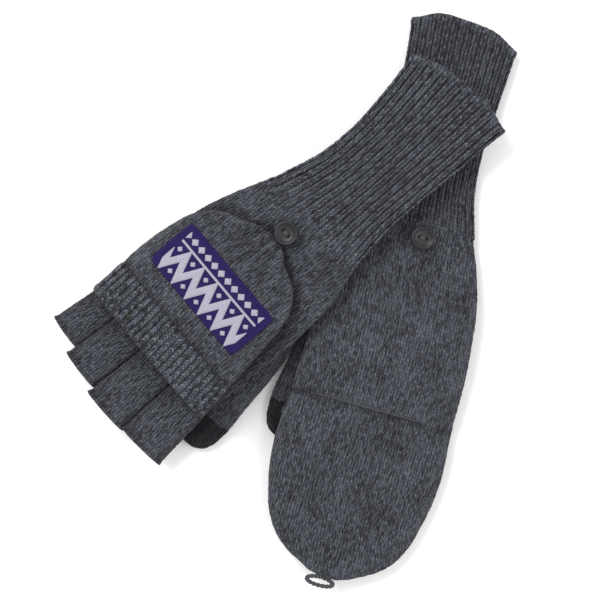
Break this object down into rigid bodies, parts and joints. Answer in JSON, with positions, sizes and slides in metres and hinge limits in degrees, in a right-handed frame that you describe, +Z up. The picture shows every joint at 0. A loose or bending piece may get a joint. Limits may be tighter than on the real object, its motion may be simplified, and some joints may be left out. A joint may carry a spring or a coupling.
{
  "type": "convertible flip-top mittens",
  "caption": "Pair of charcoal knit flip-top mittens, one hood folded back and buttoned over open half fingers, the other closed, with ribbed cuffs and black touch thumb tips",
  "frame": {"origin": "centre of the pair's bounding box, on the surface it lies on", "axes": "+Z up off the surface, +Y along the length of the pair towards the cuffs, +X across the pair towards the left mitten"},
  "size_m": [0.2408, 0.3026, 0.0405],
  "materials": {
    "charcoal_knit": "heathered charcoal stockinette and rib, soft and slightly fuzzy",
    "black_touch_knit": "fine black conductive stockinette",
    "button_plastic": "dark charcoal moulded plastic with a polished rim",
    "sewing_thread": "grey sewing thread",
    "yarn_loop": "twisted charcoal yarn",
    "emblem_twill": "indigo twill patch with off-white satin stitching in a plain woven-band pattern"
  },
  "bodies": {
    "left_mitten": {"left_cuff": "charcoal_knit", "left_hand": "charcoal_knit", "left_little_finger": "charcoal_knit", "left_ring_finger": "charcoal_knit", "left_middle_finger": "charcoal_knit", "left_index_finger": "charcoal_knit", "left_thumb": "charcoal_knit", "left_thumb_tip": "black_touch_knit", "left_hood_seam": "yarn_loop", "left_button": "button_plastic", "left_button_thread": "sewing_thread"},
    "left_hood": {"left_hood": "charcoal_knit", "left_hood_band": "charcoal_knit"},
    "left_loop": {"left_hood_loop": "yarn_loop"},
    "right_mitten": {"right_cuff": "charcoal_knit", "right_hand": "charcoal_knit", "right_little_finger": "charcoal_knit", "right_ring_finger": "charcoal_knit", "right_middle_finger": "charcoal_knit", "right_index_finger": "charcoal_knit", "right_thumb": "charcoal_knit", "right_thumb_tip": "black_touch_knit", "right_hood_seam": "yarn_loop", "right_button": "button_plastic", "right_button_thread": "sewing_thread"},
    "right_hood": {"right_hood": "charcoal_knit", "right_hood_band": "charcoal_knit", "right_emblem": "emblem_twill"},
    "right_loop": {"right_hood_loop": "yarn_loop"}
  },
  "joints": [
    {"name": "right_lift", "type": "slide", "parent": "left_mitten", "child": "right_mitten", "axis": [0, 0, 1], "range_m": [0, 0.12]},
    {"name": "left_hood_flip", "type": "hinge", "parent": "left_mitten", "child": "left_hood", "pos_m": [0.04288, -0.06021, 0.01662], "axis": [0.9586, -0.2741, -0.0767], "range_deg": [0, 180], "deforming": ["left_hood", "left_hood_band"]},
    {"name": "left_loop_swing", "type": "hinge", "parent": "left_hood", "child": "left_loop", "pos_m": [0.01685, -0.14411, 0.01085], "axis": [0.9586, -0.2741, -0.0767], "range_deg": [0, 120], "deforming": ["left_hood_loop"]},
    {"name": "right_hood_flip", "type": "hinge", "parent": "right_mitten", "child": "right_hood", "pos_m": [-0.06732, -0.02561, 0.01982], "axis": [0.6441, -0.7631, 0.0538], "range_deg": [0, 180], "deforming": ["right_hood", "right_hood_band", "right_emblem"]},
    {"name": "right_loop_swing", "type": "hinge", "parent": "right_hood", "child": "right_loop", "pos_m": [-0.0048, 0.02792, 0.03073], "axis": [0.6441, -0.7631, 0.0538], "range_deg": [0, 120], "deforming": ["right_hood_loop"]}
  ]
}
